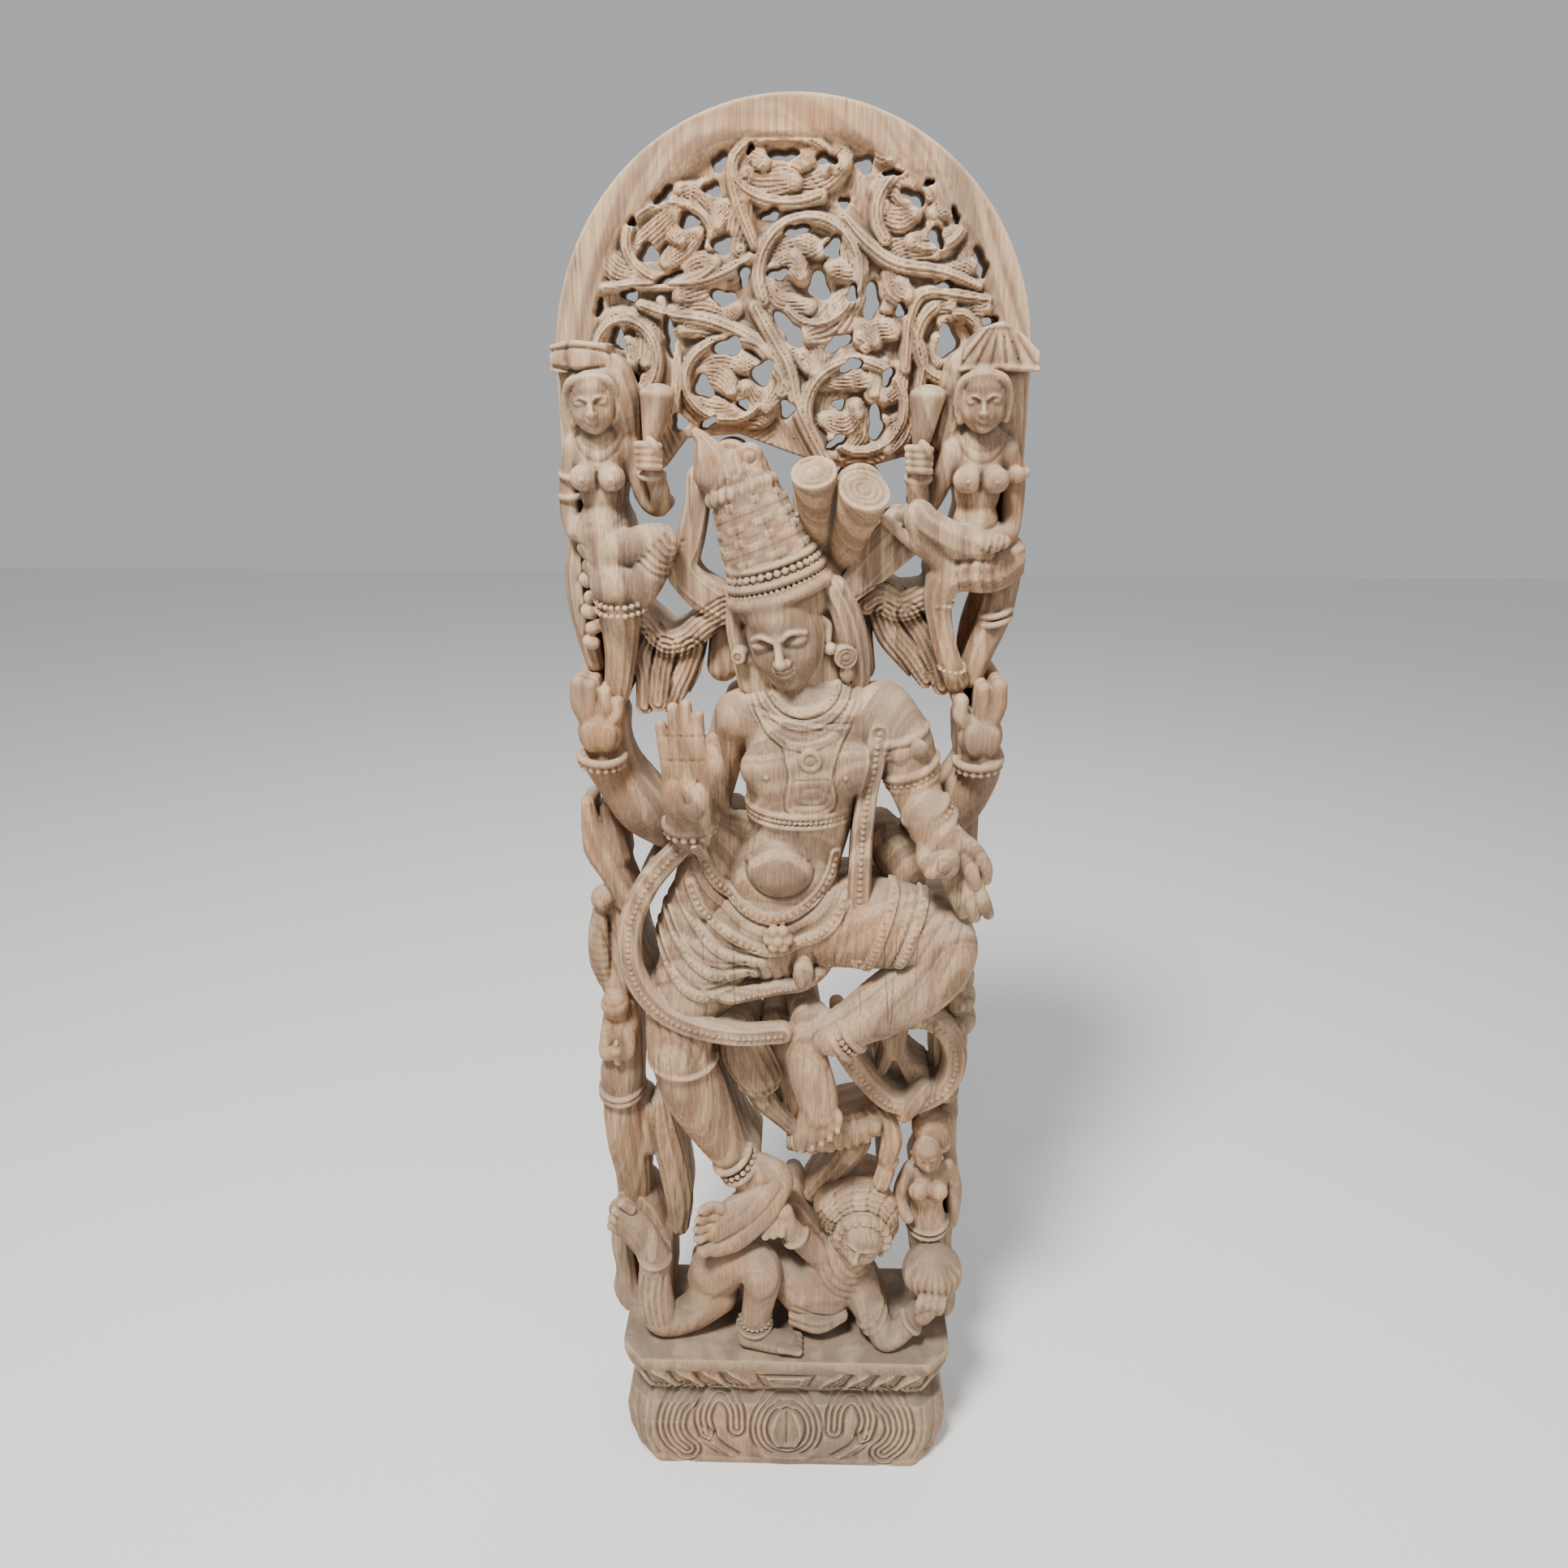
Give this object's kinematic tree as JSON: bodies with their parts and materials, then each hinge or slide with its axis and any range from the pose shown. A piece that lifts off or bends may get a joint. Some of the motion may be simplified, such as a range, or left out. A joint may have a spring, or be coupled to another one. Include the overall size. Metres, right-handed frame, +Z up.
{
  "type": "carved wall panel",
  "caption": "Tall arched wall panel carved from one block of wood: a four-armed dancing figure on a dwarf, pierced leaf scrolls above and a splayed plinth below.",
  "frame": {"origin": "flat spot on the flat back of the arch rim, near its top, where the panel bears on its wall hook", "axes": "+Z up along the height of the panel, +Y out of the flat back into the wall, -Y towards the viewer, +X to the viewer's right"},
  "size_m": [0.43, 0.15, 1.458],
  "materials": {
    "carved_wood": "bare, matt, dusty"
  },
  "bodies": {
    "root": {"carved_panel": "carved_wood"}
  },
  "joints": []
}
